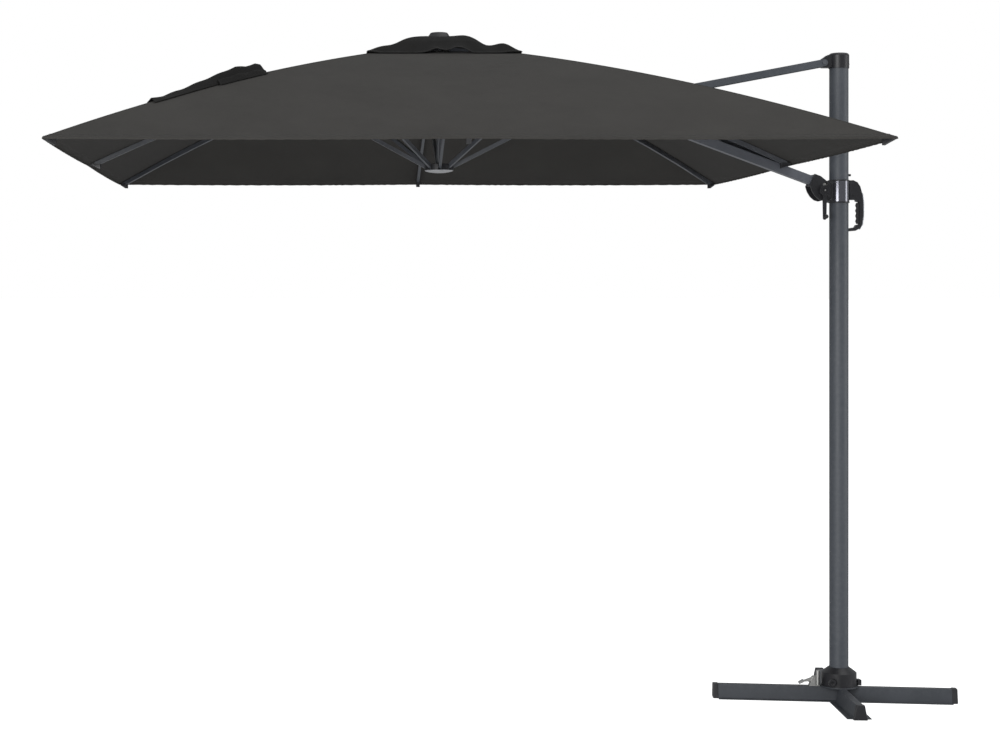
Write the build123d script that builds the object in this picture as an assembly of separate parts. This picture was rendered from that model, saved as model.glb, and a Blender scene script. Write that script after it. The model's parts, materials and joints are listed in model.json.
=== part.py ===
"""Cantilever parasol: a cross base, a turning mast, a slider with a grip, a boom held by a
twin-bar strut, and a square canopy on eight folding ribs. Millimetres, +Z up. The origin is
where the mast's axis meets the ground. The canopy lies towards -X, and -Y is the front."""

import math
import os

from build123d import *

# base cross
BASE_TURN = -6.7
ARM_REACH = 510.0
SHORT_REACH = 405.0
LONG_SHIFT = -21.0
SHORT_TURN = -3.1
BAR_TOP = 30.0
BAR_FLOOR = 100.0
BAR_HEIGHT = 60.0
BAR_WEB = 54.0
BAR_WALL = 3.0
CAP_DEPTH = 23.0
PLATE_R = 80.0
PLATE_T = 5.0
BOLT_RING = 68.0
BOLT_R = 4.0
COVER_R = 73.5
COVER_SHOULDER = 121.0
COVER_TOP = 143.0
COVER_WALL = 3.0
SPINDLE_R = 18.0
SPINDLE_TOP = 160.0

# mast
MAST_R = 40.0
MAST_WALL = 2.0
MAST_BOTTOM = 84.0
MAST_TOP = 2740.0
FOOT_R = 56.0
CAP_R = 43.0
CAP_LOW = 2700.0
CAP_TOP = 2765.0

# linkage: strut pivot and slider pivot share one upright line, and the yoke pivot lies
# midway between them in height, so the slider runs true along the mast
PIVOT_X = -70.0
STRUT_PIVOT_Z = 2722.0
SLIDER_PIVOT_Z = 2202.0
YOKE_X = -976.0
YOKE_Z = (STRUT_PIVOT_Z + SLIDER_PIVOT_Z) / 2
STRUT_END_Z = 2551.3
PIN_R = 5.0
PIN_FIT = 0.05

# strut: two flat bars either side of the boom
STRUT_H = 30.0
STRUT_T = 8.0
STRUT_IN = 24.0

# boom
BOOM_SLOPE = 0.375
BOOM_W = 44.0
BOOM_H = 38.0
BOOM_WALL = 2.0
HEAD_X = -1520.0
HEAD_GAP = 70.0
SHAFT_R = 6.0

# slider on the mast
COLLAR_R = 43.5
LINER_R = 41.2
LINER_BORE = 40.3
COLLAR_LOW = 2125.0
COLLAR_TOP = 2223.0
EAR_IN = 24.0
EAR_T = 7.0

# winder for the side tilt
WINDER_X = -77.0
WINDER_Z = 2176.0
WINDER_R = 36.0

# canopy frame
HUB_X = -1710.0
HALF = 1500.0
APEX = 2800.0
DROP = 510.0
BOW = 50.0
CLOTH_T = 2.0
CLOTH_GAP = {"mid": 1.6, "corner": 3.6, "mast": 1.6}
VENT_HALF = 300.0
VENT_HOLE = 240.0
VENT_TOP = 2834.0
VENT_DROP = 89.0
RIB_W = 13.0
RIB_H = 20.0
RIB_WALL = 1.2
RIB_PIVOT_R = 52.0
RIB_PIVOT_Z = 2777.0
RAIL_IN = 52.0
RAIL_PIVOT_R = 110.0
RAIL_PIVOT_Z = 2764.0
HUB_R = 62.0
RIB_PIN_R = 3.0
STAY_W = 12.0
STAY_H = 16.0
STAY_PIN_R = 2.5
STAY_DROP = 20.0
STAY_R = {"mid": 640.0, "corner": 631.0, "mast": 669.0}
RUNNER_R = 62.0
RUNNER_Z = 2276.0
RUNNER_PIVOT_R = 50.0
POST_R = (11.0, 9.0, 7.0)
POST_BORE = (9.35, 7.35)

SPOKES = {
    "mast_side": 0,
    "mast_back": 45,
    "back": 90,
    "outer_back": 135,
    "outer": 180,
    "outer_front": 225,
    "front": 270,
    "mast_front": 315,
}


def save(name, *solids):
    group = solids[0] if len(solids) == 1 else Compound(children=list(solids))
    export_step(group, f"parts/{name}.step")


def slab(points, y_low, y_high):
    """A flat plate with this outline in X and Z, between two values of Y."""
    face = Plane.XZ * make_face(Polyline(*points, close=True))
    return Pos(0, (y_low + y_high) / 2, 0) * extrude(face, (y_high - y_low) / 2, both=True)


def pegY(x, z, r, y_low, y_high):
    return Pos(x, (y_low + y_high) / 2, z) * Rot(90, 0, 0) * Cylinder(r, y_high - y_low)


def pegZ(x, y, r, z_low, z_high):
    return Pos(x, y, (z_low + z_high) / 2) * Cylinder(r, z_high - z_low)


def tube(r_out, r_in, z_low, z_high, x=0.0):
    return pegZ(x, 0, r_out, z_low, z_high) - pegZ(x, 0, r_in, z_low - 1, z_high + 1)


def along(start, end):
    """A plane at start whose Z runs to end and whose X stays level."""
    way = Vector(*end) - Vector(*start)
    level = Vector(0, 0, 1).cross(way).normalized()
    return Plane(origin=start, x_dir=level, z_dir=way.normalized()), way.length


def bar(start, end, width, height):
    plane, length = along(start, end)
    low = (Align.CENTER, Align.CENTER, Align.MIN)
    return plane * Box(width, height, length, align=low)


def rod(start, end, r):
    plane, length = along(start, end)
    low = (Align.CENTER, Align.CENTER, Align.MIN)
    return plane * Cylinder(r, length, align=low)


def clothZ(share):
    """Height of the cloth's upper face, from 0 at the crown to 1 at the hem."""
    return APEX - DROP * share + 4 * BOW * share * (1 - share)


def arcBand(r_low, r_high, height_at, depth):
    """A band between two arcs, as a face in X and Z that starts at radius r_low."""
    r_mid = (r_low + r_high) / 2
    top = [(r, height_at(r)) for r in (r_low, r_mid, r_high)]
    under = [(r, z - depth) for r, z in top]
    edges = [
        ThreePointArc(*top),
        Line(top[2], under[2]),
        ThreePointArc(*reversed(under)),
        Line(under[0], top[0]),
    ]
    return Plane.XZ * make_face(Wire(edges))


def boomZ(x):
    return 2244.6 + BOOM_SLOPE * (-183.4 - x)


BOOM_ANGLE = math.atan(BOOM_SLOPE)
BOOM_WAY = (-math.cos(BOOM_ANGLE), 0.0, math.sin(BOOM_ANGLE))
BOOM_LIFT = (math.sin(BOOM_ANGLE), 0.0, math.cos(BOOM_ANGLE))
HEAD_Z = boomZ(HEAD_X)


def onBoom(length, lift=0.0, side=0.0):
    """A point this far up the boom from the slider pivot, and this far above its axis."""
    x = PIVOT_X + length * BOOM_WAY[0] + lift * BOOM_LIFT[0]
    z = boomZ(PIVOT_X) + length * BOOM_WAY[2] + lift * BOOM_LIFT[2]
    return (x, side, z)


BOOM_LENGTH = (PIVOT_X - HEAD_X) / math.cos(BOOM_ANGLE)


def flat(point):
    return (point[0], point[2])


def hatBar(low, high):
    """A folded hat section along X, standing on its two floor flanges."""
    half, foot, top = BAR_WEB / 2, BAR_FLOOR / 2, BAR_TOP / 2
    w = BAR_WALL
    outline = [
        (-foot, 0), (-foot, w), (-half, w), (-top, BAR_HEIGHT), (top, BAR_HEIGHT),
        (half, w), (foot, w), (foot, 0), (half - w, 0), (top - w, BAR_HEIGHT - w),
        (-top + w, BAR_HEIGHT - w), (-half + w, 0),
    ]
    face = Plane.YZ * make_face(Polyline(*outline, close=True))
    return Pos(low, 0, 0) * extrude(face, high - low)


def buildBase():
    turn = Rot(0, 0, BASE_TURN)
    clear = BAR_FLOOR / 2 + 1
    end, near = ARM_REACH - CAP_DEPTH, SHORT_REACH - CAP_DEPTH
    save("base_bar_long", turn * hatBar(LONG_SHIFT - end, LONG_SHIFT + end))
    across = Rot(0, 0, 90 + SHORT_TURN)
    clear += 3
    halves = [across * hatBar(clear, near), across * hatBar(-near, -clear)]
    save("base_bar_short", *halves)
    caps = []
    half, top = BAR_WEB / 2 + 2, BAR_TOP / 2 + 2
    face = Plane.YZ * make_face(
        Polyline((-half, 0), (-top, BAR_HEIGHT + 2), (top, BAR_HEIGHT + 2), (half, 0), close=True)
    )
    block = extrude(face, CAP_DEPTH)
    block = fillet(block.edges().group_by(Axis.X)[-1], 4)
    for angle, reach in ((BASE_TURN, end + LONG_SHIFT), (90 + SHORT_TURN, near),
                         (180 + BASE_TURN, end - LONG_SHIFT), (270 + SHORT_TURN, near)):
        caps.append(Rot(0, 0, angle) * Pos(reach, 0, 0) * block)
    save("base_end_caps", *caps)
    plate = pegZ(0, 0, PLATE_R, BAR_HEIGHT, BAR_HEIGHT + PLATE_T)
    bolts = []
    floor = BAR_HEIGHT + PLATE_T
    for step in range(4):
        x = BOLT_RING * math.cos(math.radians(90 * step + BASE_TURN))
        y = BOLT_RING * math.sin(math.radians(90 * step + BASE_TURN))
        if step % 2 == 0:
            plate -= pegZ(x, y, BOLT_R + 0.2, 0, floor + 1)
            bolts.append(pegZ(x, y, BOLT_R, BAR_HEIGHT + 0.2, floor) + Pos(x, y, floor)
                         * extrude(RegularPolygon(BOLT_R * 1.7, 6), 2.6))
    plate += pegZ(0, 0, SPINDLE_R, floor - 1, SPINDLE_TOP)
    save("base_plate", plate)
    save("base_bolts", *bolts)
    outline = [
        (COVER_R, floor), (COVER_R, COVER_SHOULDER), (MAST_R + 4, COVER_TOP),
        (MAST_R + 1.5, COVER_TOP), (MAST_R + 1.5, COVER_TOP - COVER_WALL),
        (COVER_R - COVER_WALL, COVER_SHOULDER - 2), (COVER_R - COVER_WALL, floor),
    ]
    cover = revolve(Plane.XZ * make_face(Polyline(*outline, close=True)), Axis.Z)
    for bolt in bolts:
        spot = bolt.center()
        cover -= pegZ(spot.X, spot.Y, BOLT_R * 1.7 + 1, floor - 1, floor + 6)
    save("base_cover", cover)
    ring = tube(60.5, 57.0, floor, floor + 12)
    for step in range(24):
        ring -= Rot(0, 0, 15 * step) * Pos(59, 0, floor + 10) * Box(6, 4, 6)
    save("index_ring", ring)


def buildPedal():
    floor = BAR_HEIGHT
    turn = Rot(0, 0, BASE_TURN)
    foot = Pos(-104, 0, floor + 2.5) * Box(44, 30, 5)
    cheeks = [slab([(-124, 65), (-84, 65), (-88, 100), (-112, 100)], y, y + 4) for y in (-15, 11)]
    bracket = foot + cheeks[0] + cheeks[1]
    bracket += pegY(-100, 88, 4.0, -17, 17)
    save("pedal_bracket", turn * bracket)
    lever = slab([(-150, 76), (-146, 82), (-112, 95), (-88, 95), (-88, 82), (-112, 80)], -10, 10)
    lever = lever - pegY(-100, 88, 4.05, -11, 11)
    pad = slab([(-168, 68), (-168, 72), (-151, 82.4), (-146.6, 82.4), (-146.6, 82.1), (-150.4, 75.6)], -22, 22)
    save("foot_pedal", turn * lever, turn * pad)
    save("latch_plunger", turn * pegZ(-92, -27, 8, 66, 130))
    knob = pegY(-52, 88, 15, -92, -74.5) - pegY(-52, 88, 7, -93, -88)
    save("lock_bolt", knob)
    block = Pos(84.5, 0, 77) * Box(17, 34, 24)
    save("cover_latch", block - pegZ(0, 0, COVER_R + 0.2, 0, 200))


def buildMast():
    foot = pegZ(0, 0, FOOT_R, 66, 78) + pegZ(0, 0, MAST_R - MAST_WALL, 78, 140)
    foot += pegZ(0, 0, MAST_R + 1, 78, MAST_BOTTOM)
    foot -= pegZ(0, 0, SPINDLE_R + PIN_FIT, 60, 150)
    save("mast_foot", foot)
    save("mast_tube", tube(MAST_R, MAST_R - MAST_WALL, MAST_BOTTOM, MAST_TOP))
    barrel = fillet(pegZ(0, 0, CAP_R, CAP_LOW, CAP_TOP).edges().sort_by(Axis.Z)[-1], 12)
    barrel -= pegZ(0, 0, MAST_R, CAP_LOW - 1, MAST_TOP)
    lug = slab([(-30, 2703), (-30, 2756), (-52, 2756), (-78, 2738), (-84, 2722), (-78, 2706), (-70, 2703)],
               -22, 22)
    lug -= pegZ(0, 0, MAST_R, 2690, MAST_TOP)
    lug -= pegY(PIVOT_X, STRUT_PIVOT_Z, PIN_R + PIN_FIT, -30, 30)
    save("mast_cap", barrel + lug)
    stop = Pos(MAST_R + 5.5, 0, 2244) * Rot(0, 90, 0) * Cylinder(5, 11)
    stop = fillet(stop.edges().sort_by(Axis.X)[-1], 2) - pegZ(0, 0, MAST_R, 2200, 2300)
    save("stop_button", stop)


def buildStrut():
    start = (PIVOT_X, STRUT_PIVOT_Z)
    end = (YOKE_X, STRUT_END_Z)
    length = math.dist(start, end)
    way = ((end[0] - start[0]) / length, (end[1] - start[1]) / length)
    tip = (end[0] + 30 * way[0], end[1] + 30 * way[1])
    bars = []
    for side in (-1, 1):
        y = sorted((side * STRUT_IN, side * (STRUT_IN + STRUT_T)))
        mid = sum(y) / 2
        flatBar = bar((start[0], mid, start[1]), (tip[0], mid, tip[1]), STRUT_T, STRUT_H)
        flatBar += pegY(*start, STRUT_H / 2, *y)
        plate = [(YOKE_X - 34, STRUT_END_Z), (YOKE_X + 46, STRUT_END_Z), (YOKE_X + 16, YOKE_Z),
                 (YOKE_X - 16, YOKE_Z)]
        flatBar += slab(plate, *y) + pegY(YOKE_X, YOKE_Z, 16, *y)
        flatBar -= pegY(*start, PIN_R + PIN_FIT, -40, 40)
        flatBar -= pegY(YOKE_X, YOKE_Z, PIN_R + PIN_FIT, -40, 40)
        bars.append(flatBar)
    spot = (start[0] + 150 * way[0], start[1] + 150 * way[1])
    save("strut_bars", bars[0] + bars[1] + pegY(*spot, 9, -STRUT_IN - 1, STRUT_IN + 1))
    pins = []
    for x, z in (start, (YOKE_X, YOKE_Z)):
        pin = pegY(x, z, PIN_R, -35, 35)
        pin += pegY(x, z, 9, -36, -32) + pegY(x, z, 9, 32, 36)
        pins.append(pin)
    save("strut_pins", *pins)


def buildBoom():
    end = BOOM_LENGTH - HEAD_GAP
    outer = bar(onBoom(22), onBoom(end), BOOM_W, BOOM_H)
    inner = bar(onBoom(21), onBoom(end + 1), BOOM_W - 2 * BOOM_WALL, BOOM_H - 2 * BOOM_WALL)
    save("boom_tube", outer - inner)
    x, _, z = onBoom(0)
    plug = bar(onBoom(0), onBoom(21.9), BOOM_W, 34) + pegY(x, z, 17, -BOOM_W / 2, BOOM_W / 2)
    plug += bar(onBoom(20), onBoom(70), BOOM_W - 2 * BOOM_WALL, BOOM_H - 2 * BOOM_WALL)
    plug -= pegY(x, z, PIN_R + PIN_FIT, -40, 40)
    bearing = bar(onBoom(end - 40), onBoom(end + 6), BOOM_W - 2 * BOOM_WALL, BOOM_H - 2 * BOOM_WALL)
    bearing += bar(onBoom(end + 0.05), onBoom(end + 6), BOOM_W + 2, BOOM_H + 2)
    bearing -= rod(onBoom(end - 50), onBoom(end + 10), SHAFT_R + PIN_FIT)
    save("boom_fittings", plug, bearing)
    under = -BOOM_H / 2 - 0.05
    reach = (YOKE_X - PIVOT_X) / BOOM_WAY[0]
    lug = slab([flat(onBoom(reach - 70, under)), flat(onBoom(reach + 30, under)), (YOKE_X - 16, YOKE_Z),
                (YOKE_X + 14, YOKE_Z - 4)], -BOOM_W / 2, BOOM_W / 2)
    lug += pegY(YOKE_X, YOKE_Z, 16, -BOOM_W / 2, BOOM_W / 2)
    lug -= pegY(YOKE_X, YOKE_Z, PIN_R + PIN_FIT, -40, 40)
    save("boom_lug", lug)
    wide = BOOM_W / 2 + 22
    shell = bar(onBoom(36), onBoom(57), 2 * wide, BOOM_H + 16)
    shell = fillet(shell.edges().filter_by(Axis.Y), 5)
    shell -= bar(onBoom(30), onBoom(80), BOOM_W, BOOM_H)
    cheek = [flat(onBoom(57, 27)), flat(onBoom(30, 27)), (-62, 2216), (-46, 2206), (-46, 2150), (-56, 2139),
             (-78, 2133), (-96, 2138), (-113, 2153), (-126, 2174), flat(onBoom(57, -27))]
    for low, high in ((-wide, -BOOM_W / 2 - 12), (BOOM_W / 2 + 12, wide)):
        side = slab(cheek, low, high)
        shell += side - pegY(PIVOT_X, boomZ(PIVOT_X), 10, low - 1, low + 3 if low > 0 else high + 1)
    shell -= pegY(WINDER_X, WINDER_Z, 8.05, -60, -20)
    save("winder_housing", shell)


def buildCrank():
    near = -(BOOM_W / 2 + 22) - 0.4
    arm = slab([(WINDER_X - 9, WINDER_Z), (WINDER_X + 9, WINDER_Z), (WINDER_X + 7, WINDER_Z - 118),
                (WINDER_X - 7, WINDER_Z - 118)], near - 20, near - 12)
    arm += pegY(WINDER_X, WINDER_Z, 12, near - 20, near) + pegY(WINDER_X, WINDER_Z - 118, 7, near - 20, near - 12)
    arm += pegY(WINDER_X, WINDER_Z, 8, near, near + 18)
    arm += pegY(WINDER_X, WINDER_Z - 112, 3, near - 42, near - 20)
    save("crank_arm", arm)
    knob = pegY(WINDER_X, WINDER_Z - 112, 8.5, near - 50, near - 20.5)
    knob = fillet(knob.edges().sort_by(Axis.Y)[0], 4)
    knob -= pegY(WINDER_X, WINDER_Z - 112, 3 + PIN_FIT, near - 42.05, near - 20)
    save("crank_knob", knob)


def buildSlider():
    save("slider_collar", tube(COLLAR_R, LINER_R, COLLAR_LOW + 5, COLLAR_TOP - 5))
    rims = [tube(COLLAR_R + 0.8, LINER_BORE, low, low + 5) for low in (COLLAR_LOW, COLLAR_TOP - 5)]
    save("slider_liner", rims[0] + rims[1] + tube(LINER_R, LINER_BORE, COLLAR_LOW + 5, COLLAR_TOP - 5))
    z = boomZ(PIVOT_X)
    base = Pos(-37, 0, (COLLAR_LOW + COLLAR_TOP) / 2) * Box(20, 2 * (EAR_IN + EAR_T), 94)
    for low in (-EAR_IN - EAR_T, EAR_IN):
        ear = slab([(-40, z - 30), (-40, z + 10), (PIVOT_X, z + 15), (PIVOT_X, z - 15)], low, low + EAR_T)
        base += ear + pegY(PIVOT_X, z, 15, low, low + EAR_T)
    base -= pegZ(0, 0, COLLAR_R + 0.8, 2100, 2240)
    base -= pegY(PIVOT_X, z, PIN_R + PIN_FIT, -40, 40)
    save("slider_bracket", base)
    pin = pegY(PIVOT_X, z, PIN_R, -32, 32) + pegY(PIVOT_X, z, 8, -32.5, -31) + pegY(PIVOT_X, z, 8, 31, 32.5)
    screws = [pegY(-40.5, height, 4.5, -34, -31) for height in (2141, 2209)]
    save("slider_fasteners", pin, *screws)
    grip = [(42, 2221), (58, 2222), (76, 2213), (88, 2195), (96, 2165), (100, 2125), (100, 2070), (96, 2036),
            (86, 2016), (68, 2006), (44, 2004), (44, 2017), (66, 2021), (72, 2031), (84.5, 2034), (84.5, 2128),
            (72, 2131), (70, 2138), (42, 2138)]
    handle = slab(grip, -15, 15)
    handle -= slab([(80, 2034.2), (92, 2034.2), (92, 2127.8), (80, 2127.8)], -9.4, 9.4)
    handle -= pegZ(0, 0, COLLAR_R + 0.8, 2100, 2230)
    handle -= pegZ(0, 0, MAST_R + 1, 1990, 2100)
    save("handle_grip", handle)
    outer = [(96, 2165), (100, 2125), (100, 2070), (96, 2036), (86, 2016)]
    band = [(x + 0.05, height) for x, height in outer] + [(88, 2011), (101, 2032), (106, 2070), (106, 2125),
                                                         (101, 2168)]
    save("handle_strip", slab(band, -11, 11))
    wave = [(85.5, 2127), (85.5, 2035.5)]
    for step in range(25):
        height = 2036 + 90 * step / 24
        wave.append((73.5 + 1.8 * math.cos(4 * 2 * math.pi * step / 24), height))
    save("trigger", slab(wave, -9, 9))


def buildTiltHead():
    end = BOOM_LENGTH - HEAD_GAP + 6
    x, _, z = onBoom(BOOM_LENGTH)
    fork = rod(onBoom(end + 0.4), onBoom(end + 20), 19)
    fork += bar(onBoom(end + 14), onBoom(BOOM_LENGTH), 40, 30) + pegY(x, z, 15, -20, 20)
    fork -= bar(onBoom(BOOM_LENGTH - 20), onBoom(BOOM_LENGTH + 20), 20.8, 60)
    fork -= pegY(x, z, PIN_R + PIN_FIT, -30, 30)
    save("tilt_head", fork + rod(onBoom(75), onBoom(end + 1), SHAFT_R))


def ringSlots(z_low, z_high, width, mast_side=True):
    cuts = []
    for name, turn in SPOKES.items():
        if turn or mast_side:
            box = Pos(70, 0, (z_low + z_high) / 2) * Box(68, width, z_high - z_low + 2)
            cuts.append(Pos(HUB_X, 0, 0) * Rot(0, 0, turn) * box)
    return cuts


def buildHub():
    low, high = RIB_PIVOT_Z - 10, RIB_PIVOT_Z + 10
    body = pegZ(HUB_X, 0, HUB_R, low, high)
    for cut in ringSlots(low, high, RIB_W + 1, False):
        body -= cut
    body += pegZ(HUB_X, 0, 26, low - 20, high)
    x, z = HEAD_X, HEAD_Z
    arm = slab([(HUB_X + 20, 2750), (HUB_X + 20, 2786), (HUB_X + 110, 2774), (x, z + 14), (x, z - 14)], -20, 20)
    neck = bar((x - 24, 0, z), (x + 20, 0, z), 60, 60)
    tongue = slab([(x - 24, z - 12), (x - 24, z + 14), (x, z + 14), (x, z - 14)], -10, 10) + pegY(x, z, 14, -10, 10)
    body += (arm - neck) + tongue
    body -= pegY(x, z, PIN_R + PIN_FIT, -30, 30)
    body -= pegY(HUB_X + RAIL_PIVOT_R, RAIL_PIVOT_Z, RIB_PIN_R, -30, 30)
    body -= pegZ(HUB_X, 0, POST_R[0], low - 30, high - 6)
    for name, turn in SPOKES.items():
        if turn:
            hole = Pos(HUB_X, 0, 0) * Rot(0, 0, turn) * pegY(RIB_PIVOT_R, RIB_PIVOT_Z, RIB_PIN_R, -14, 14)
            body -= hole
    save("hub_body", body)
    pins = [pegY(x, z, PIN_R, -22, 22), pegY(HUB_X + RAIL_PIVOT_R, RAIL_PIVOT_Z, RIB_PIN_R, -70, 70)]
    for name, turn in SPOKES.items():
        if turn:
            pins.append(Pos(HUB_X, 0, 0) * Rot(0, 0, turn) * pegY(RIB_PIVOT_R, RIB_PIVOT_Z, RIB_PIN_R, -13, 13))
    save("hub_pins", *pins)
    finial = pegZ(HUB_X, 0, 6, high, VENT_TOP + 3)
    dome = Pos(HUB_X, 0, 0) * revolve(Plane.XZ * make_face(Polyline(
        (0, VENT_TOP + 2), (50, VENT_TOP - 6), (50, VENT_TOP - 3), (36, VENT_TOP + 18), (0, VENT_TOP + 19),
        close=True)), Axis.Z)
    save("finial", finial + dome)
    save("post_outer", tube(POST_R[0], POST_BORE[0], RUNNER_Z + 26, high - 6, HUB_X))
    save("post_middle", tube(POST_R[1], POST_BORE[1], RUNNER_Z + 21, high - 12, HUB_X))
    low, high = RUNNER_Z - 12, RUNNER_Z + 14
    runner = pegZ(HUB_X, 0, RUNNER_R, low, high)
    for cut in ringSlots(low, high, STAY_W + 1.4):
        runner -= cut
    save("runner_hub", runner)
    dish = [(0, low), (RUNNER_R, low), (RUNNER_R - 4, low - 3), (44, low - 7), (24, low - 10), (0, low - 11)]
    cap = Pos(HUB_X, 0, 0) * revolve(Plane.XZ * make_face(Polyline(*dish, close=True)), Axis.Z)
    save("runner_cap", cap)
    save("post_inner", pegZ(HUB_X, 0, POST_R[2], high, RIB_PIVOT_Z - 24))


def underCloth(reach, gap):
    return lambda r: clothZ(r / reach) - CLOTH_T - gap


def stayPoint(kind, reach):
    r = STAY_R[kind]
    return (r, clothZ(r / reach) - CLOTH_T - CLOTH_GAP[kind] - RIB_H / 2 - STAY_DROP)


def buildRib(name, turn):
    corner = turn % 90 == 45
    reach = HALF * (math.sqrt(2) if corner else 1)
    kind = "corner" if corner else "mid"
    top = underCloth(reach, CLOTH_GAP[kind])
    start = RIB_PIVOT_R + 6
    inside = lambda r: top(r) - RIB_WALL
    pivot = (RIB_PIVOT_R, RIB_PIVOT_Z)
    if not turn:
        kind = "mast"
        start = RAIL_PIVOT_R + 6
        pivot = (RAIL_PIVOT_R, RAIL_PIVOT_Z)
    end = reach - 26
    spot = stayPoint(kind, reach)
    rails = []
    for middle in ((-RAIL_IN - RIB_W / 2, RAIL_IN + RIB_W / 2) if not turn else (0,)):
        side = 1 if middle >= 0 else -1
        rail = extrude(arcBand(start, end, top, RIB_H), RIB_W / 2, both=True)
        rail -= extrude(arcBand(start + 14, end + 40, inside, RIB_H - 2 * RIB_WALL), RIB_W / 2 - RIB_WALL, both=True)
        rail += pegY(*pivot, 9, -RIB_W / 2, RIB_W / 2)
        rail -= pegY(*pivot, RIB_PIN_R + PIN_FIT, -20, 20)
        tip_z = top(end) - RIB_H / 2 - 8
        cap = Pos(end - 8, 0, tip_z) * Box(44, RIB_W + 5, RIB_H + 3)
        rail += fillet(cap.edges().filter_by(Axis.Z), 4)
        ear = slab([(spot[0] - 16, spot[1] + STAY_DROP), (spot[0] + 16, spot[1] + STAY_DROP),
                    (spot[0] + 8, spot[1]), (spot[0] - 8, spot[1])], 0, 2.4) + pegY(*spot, 7.5, 0, 2.4)
        if turn:
            for y in (-STAY_W / 2 - 2.8, STAY_W / 2 + 0.4):
                rail += Pos(0, y, 0) * ear
            rail += pegY(*spot, STAY_PIN_R, -STAY_W / 2 - 2, STAY_W / 2 + 2)
        else:
            rail += Pos(0, side * (RIB_W / 2 - 1.2) - 1.2, 0) * ear
            rail += pegY(*spot, STAY_PIN_R, *sorted((side * RIB_W / 2 - side, side * (RIB_W / 2 + 9))))
        rails.append(Pos(HUB_X, 0, 0) * Rot(0, 0, turn) * Pos(0, middle, 0) * rail)
    save(f"rib_{name}", *rails)
    foot = (RUNNER_PIVOT_R, RUNNER_Z)
    if turn:
        stay = bar((*foot[:1], 0, foot[1]), (spot[0], 0, spot[1]), STAY_W, STAY_H)
        stay += pegY(*foot, STAY_H / 2, -STAY_W / 2, STAY_W / 2) + pegY(*spot, 7.5, -STAY_W / 2, STAY_W / 2)
        stay -= pegY(*spot, STAY_PIN_R + PIN_FIT, -20, 20)
    else:
        way = [(spot[i] - foot[i]) / math.dist(spot, foot) for i in (0, 1)]
        split = (foot[0] + 34 * way[0], foot[1] + 34 * way[1])
        stay = bar((foot[0], 0, foot[1]), (split[0], 0, split[1]), STAY_W, STAY_H)
        stay += pegY(*foot, STAY_H / 2, -STAY_W / 2, STAY_W / 2)
        for side in (-1, 1):
            y = side * (RAIL_IN + RIB_W + 4.5)
            near = (spot[0] - 60 * way[0], spot[1] - 60 * way[1])
            stay += bar((split[0] - 4, side * 2, split[1] - 2), (near[0], y, near[1]), 7, STAY_H)
            stay += bar((near[0] - 4, y, near[1] - 2), (spot[0], y, spot[1]), 7, STAY_H)
            stay += pegY(*spot, 7.5, y - 3.5, y + 3.5)
            stay -= pegY(*spot, STAY_PIN_R + PIN_FIT, y - 5, y + 5)
    save(f"stay_{name}", Pos(HUB_X, 0, 0) * Rot(0, 0, turn) * stay)


def roof(half, top_at, thick, hole):
    """A four-sided roof whose panels curve like a cylinder, with a square hole at the crown."""
    panel = extrude(arcBand(0, half, top_at, thick), half, both=True)
    wedge = extrude(make_face(Polyline((0, 0), (half, half), (half, -half), close=True)), 4000)
    panel = panel & wedge
    whole = panel
    for step in (1, 2, 3):
        whole += Rot(0, 0, 90 * step) * panel
    whole -= Pos(0, 0, top_at(0)) * Box(2 * hole, 2 * hole, 400)
    return Pos(HUB_X, 0, 0) * whole


def buildCloth():
    cloth = roof(HALF, lambda r: clothZ(r / HALF), CLOTH_T, VENT_HOLE)
    slit = Pos(-880, 0, 2570) * Box(170, 2 * (STRUT_IN + STRUT_T) + 8, 200)
    notch = Pos(HUB_X + VENT_HOLE, 0, 2740) * Box(120, BOOM_W + 14, 80)
    save("canopy", cloth - slit - notch)
    crown = roof(VENT_HALF, lambda r: VENT_TOP - VENT_DROP * (r / VENT_HALF) ** 1.15, CLOTH_T, 7)
    save("vent_canopy", crown)
    reach = HALF * math.sqrt(2)
    over = lambda r: clothZ(r / reach) + 7.5
    strap = extrude(arcBand(950, 1540, over, 6), 26, both=True)
    save("tie_strap", Pos(HUB_X, 0, 0) * Rot(0, 0, SPOKES["outer_front"]) * strap)


os.makedirs("parts", exist_ok=True)
buildBase()
buildPedal()
buildMast()
buildStrut()
buildBoom()
buildCrank()
buildSlider()
buildTiltHead()
buildHub()
for spoke, turn in SPOKES.items():
    buildRib(spoke, turn)
buildCloth()
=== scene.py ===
import json
import math

import bmesh
import bpy
import numpy as np
from mathutils import Matrix, Vector

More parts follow.
